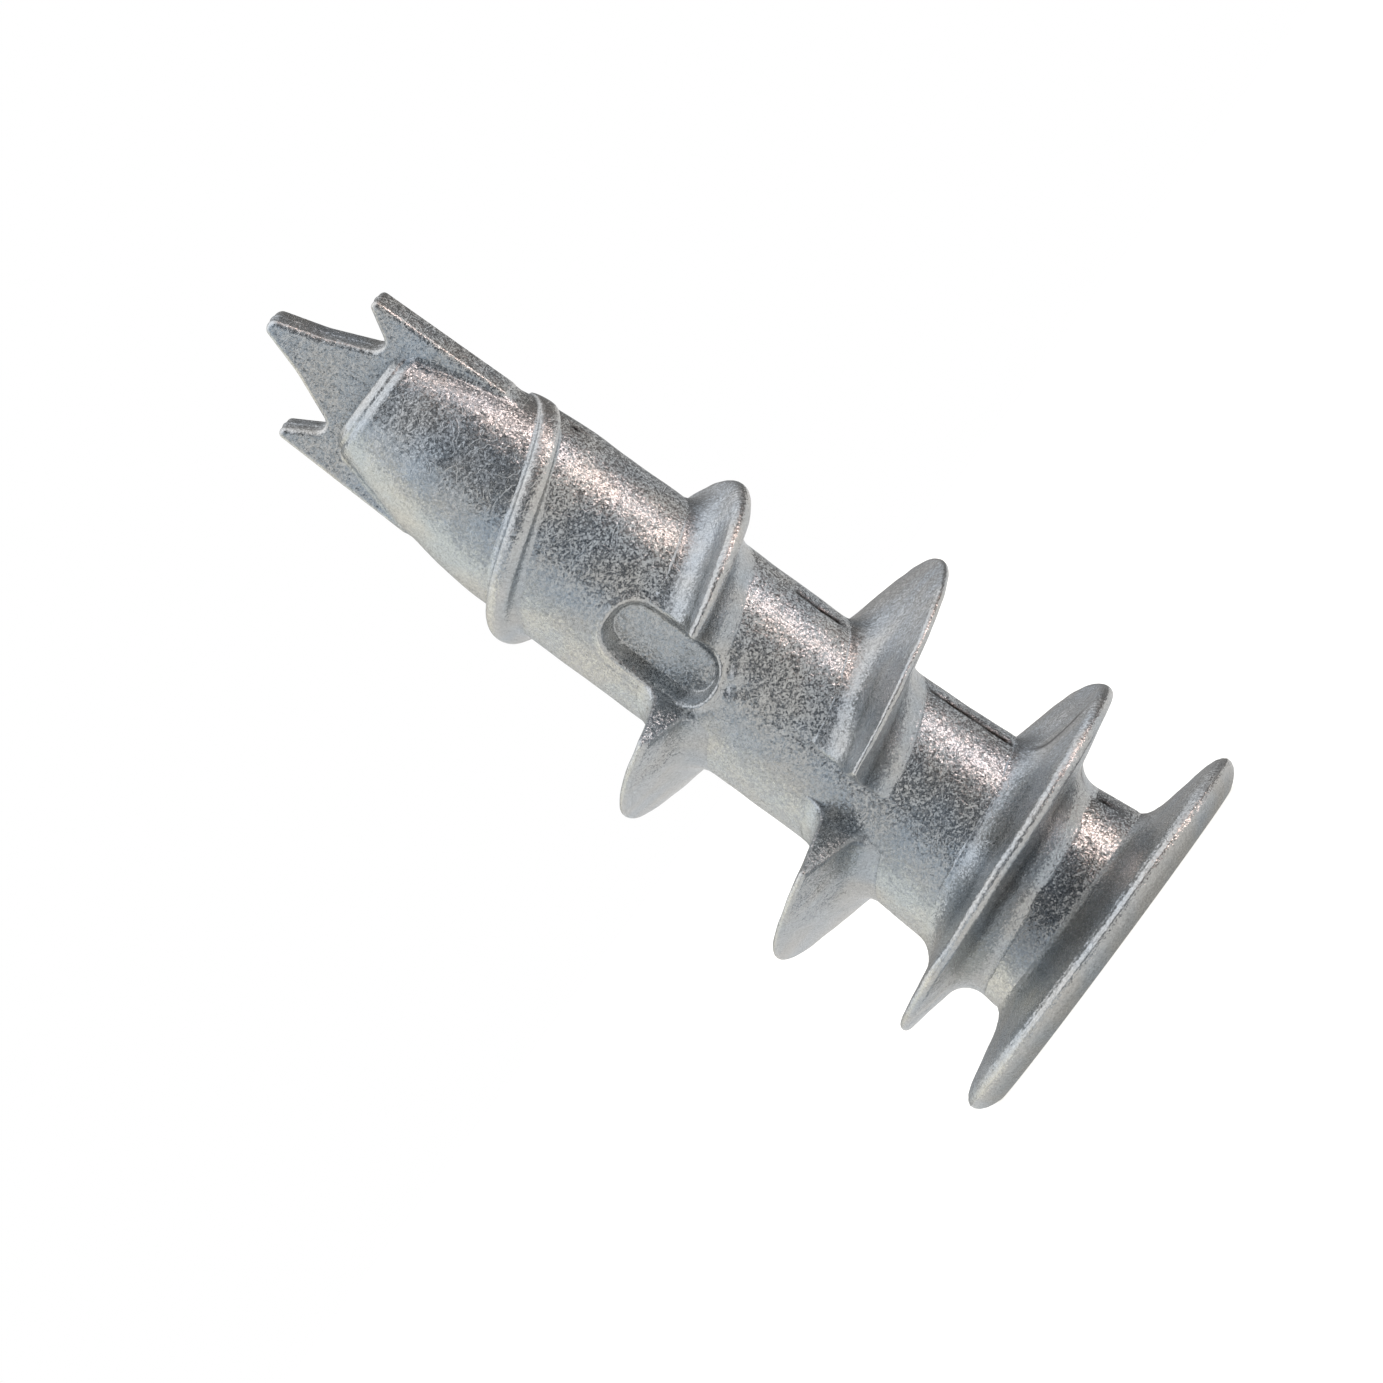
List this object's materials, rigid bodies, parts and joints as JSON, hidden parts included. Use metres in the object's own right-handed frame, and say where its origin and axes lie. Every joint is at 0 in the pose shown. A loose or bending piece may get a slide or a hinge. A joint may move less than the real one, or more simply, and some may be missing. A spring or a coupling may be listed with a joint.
{
  "type": "wall anchor",
  "caption": "Self-drilling threaded wall anchor for plasterboard: flanged head with a cross recess, hollow tapered shank, coarse interrupted flights and a flat pronged drill blade.",
  "frame": {"origin": "centre of the head's flat face", "axes": "+Z along the axis from the head to the drill tip, X across the width of the blade, Y through its thickness; the pocket faces -Y"},
  "size_m": [0.0132, 0.0132, 0.032],
  "materials": {
    "cast_zinc": "as-cast zinc alloy, bright grey, satin with a fine grainy sparkle"
  },
  "bodies": {
    "root": {"head_flange": "cast_zinc", "barrel": "cast_zinc", "rim_flight": "cast_zinc", "thread_flight_1": "cast_zinc", "thread_flight_2": "cast_zinc", "thread_flight_3": "cast_zinc", "thread_flight_4": "cast_zinc", "start_ridge": "cast_zinc", "drill_blade": "cast_zinc"}
  },
  "joints": []
}
